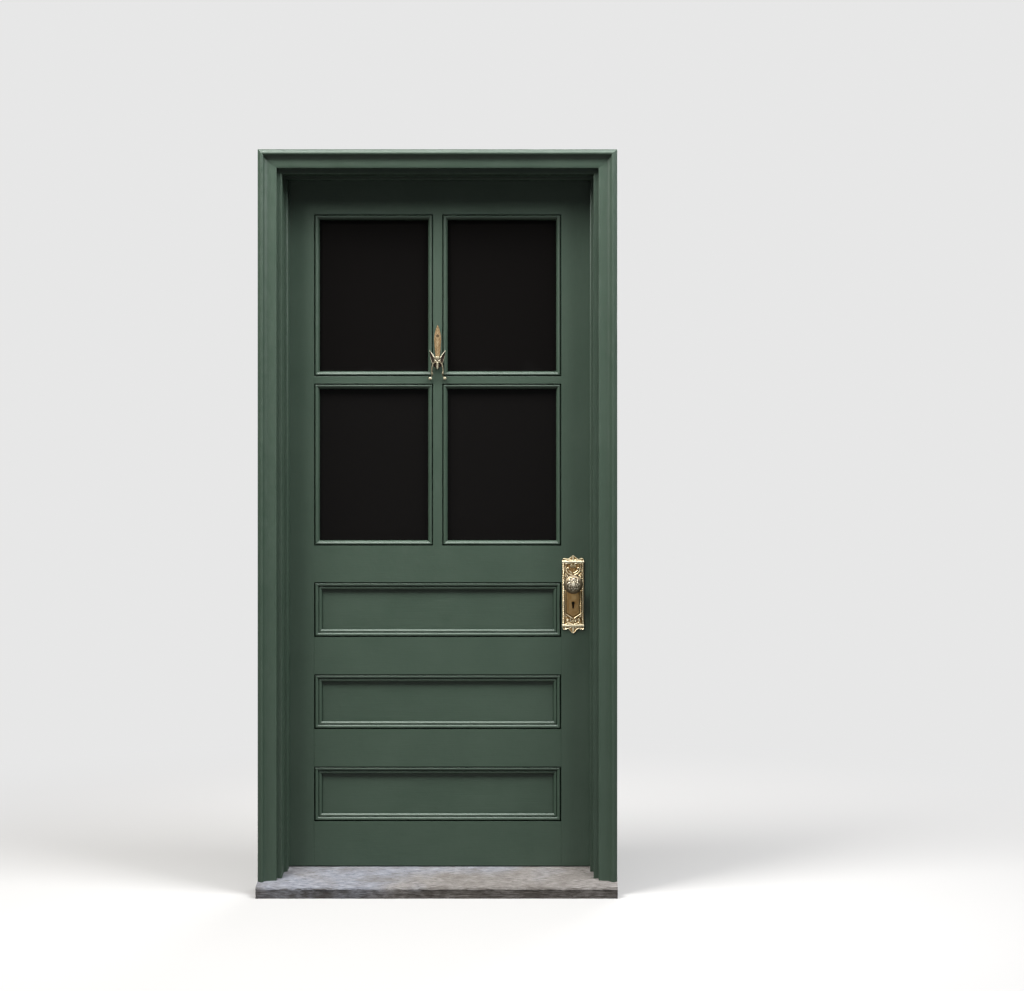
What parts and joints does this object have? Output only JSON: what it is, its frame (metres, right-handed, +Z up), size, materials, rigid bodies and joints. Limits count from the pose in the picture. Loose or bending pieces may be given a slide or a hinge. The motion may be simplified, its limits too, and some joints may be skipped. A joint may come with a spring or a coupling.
{
  "type": "panelled front door",
  "caption": "Half-glazed panelled wooden front door hung in its rebated frame, with a sloping sill, brick mouldings, butt hinges, a mortise lock with knobs and a knocker.",
  "frame": {"origin": "underside of the sill, midway between the jambs, in the plane of the leaf's outer face", "axes": "+X from the hinges towards the lock, +Y from the street into the house, +Z up"},
  "size_m": [1.04, 0.2565, 2.158],
  "materials": {
    "painted_wood": "aged satin paint",
    "weathered_wood": "worn and bleached",
    "dark_glass": "polished",
    "aged_brass": "tarnished, edges rubbed bright",
    "worn_bronze": "worn bright on the high parts",
    "lock_iron": "rough",
    "hinge_steel": "dull"
  },
  "bodies": {
    "frame": {"sill": "weathered_wood", "head_jamb": "painted_wood", "left_jamb": "painted_wood", "right_jamb": "painted_wood", "head_stop": "painted_wood", "left_stop": "painted_wood", "right_stop": "painted_wood", "left_casing": "painted_wood", "right_casing": "painted_wood", "head_casing": "painted_wood", "strike_plate": "aged_brass", "strike_screws": "aged_brass", "frame_hinge_screws": "hinge_steel", "top_hinge_frame_leaf": "hinge_steel", "middle_hinge_frame_leaf": "hinge_steel", "bottom_hinge_frame_leaf": "hinge_steel", "hinge_pins": "hinge_steel"},
    "door": {"hinge_stile": "painted_wood", "lock_stile": "painted_wood", "top_rail": "painted_wood", "lock_rail": "painted_wood", "upper_middle_rail": "painted_wood", "lower_middle_rail": "painted_wood", "bottom_rail": "painted_wood", "upright_muntin": "painted_wood", "left_cross_muntin": "painted_wood", "right_cross_muntin": "painted_wood", "upper_left_pane": "dark_glass", "upper_right_pane": "dark_glass", "lower_left_pane": "dark_glass", "lower_right_pane": "dark_glass", "upper_left_beads": "painted_wood", "upper_right_beads": "painted_wood", "lower_left_beads": "painted_wood", "lower_right_beads": "painted_wood", "upper_panel": "painted_wood", "middle_panel": "painted_wood", "lower_panel": "painted_wood", "street_panel_mouldings": "painted_wood", "house_panel_mouldings": "painted_wood", "lock_case": "lock_iron", "lock_faceplate": "aged_brass", "lock_screws": "aged_brass", "plate_screws": "aged_brass", "leaf_hinge_screws": "hinge_steel", "top_hinge_door_leaf": "hinge_steel", "middle_hinge_door_leaf": "hinge_steel", "bottom_hinge_door_leaf": "hinge_steel", "street_plate": "aged_brass", "house_plate": "aged_brass", "knocker_plate": "aged_brass", "knocker_screw": "aged_brass", "knocker_pin": "aged_brass"},
    "knobs": {"street_knob": "worn_bronze", "house_knob": "worn_bronze", "spindle": "hinge_steel", "lock_hub": "lock_iron"},
    "latch": {"latch_bolt": "aged_brass"},
    "bolt": {"dead_bolt": "aged_brass"},
    "knocker": {"knocker_striker": "worn_bronze"}
  },
  "joints": [
    {"name": "door_swing", "type": "hinge", "parent": "frame", "child": "door", "pos_m": [-0.4585, 0.051, 1.131], "axis": [0, 0, 1], "range_deg": [0, 110]},
    {"name": "knob_turn", "type": "hinge", "parent": "door", "child": "knobs", "pos_m": [0.3934, 0.02225, 0.897], "axis": [0, 1, 0], "range_deg": [0, 50], "stiffness_Nm_per_rad": 0.3},
    {"name": "latch_slide", "type": "slide", "parent": "door", "child": "latch", "axis": [-1, 0, 0], "range_m": [0, 0.012]},
    {"name": "bolt_slide", "type": "slide", "parent": "door", "child": "bolt", "axis": [1, 0, 0], "range_m": [0, 0.013]},
    {"name": "knocker_swing", "type": "hinge", "parent": "door", "child": "knocker", "pos_m": [-0.00575, -0.009, 1.562], "axis": [-1, 0, 0], "range_deg": [0, 35]}
  ],
  "couplings": [
    {"joint": "latch_slide", "follows": "knob_turn", "m_per_rad": 0.01375}
  ]
}
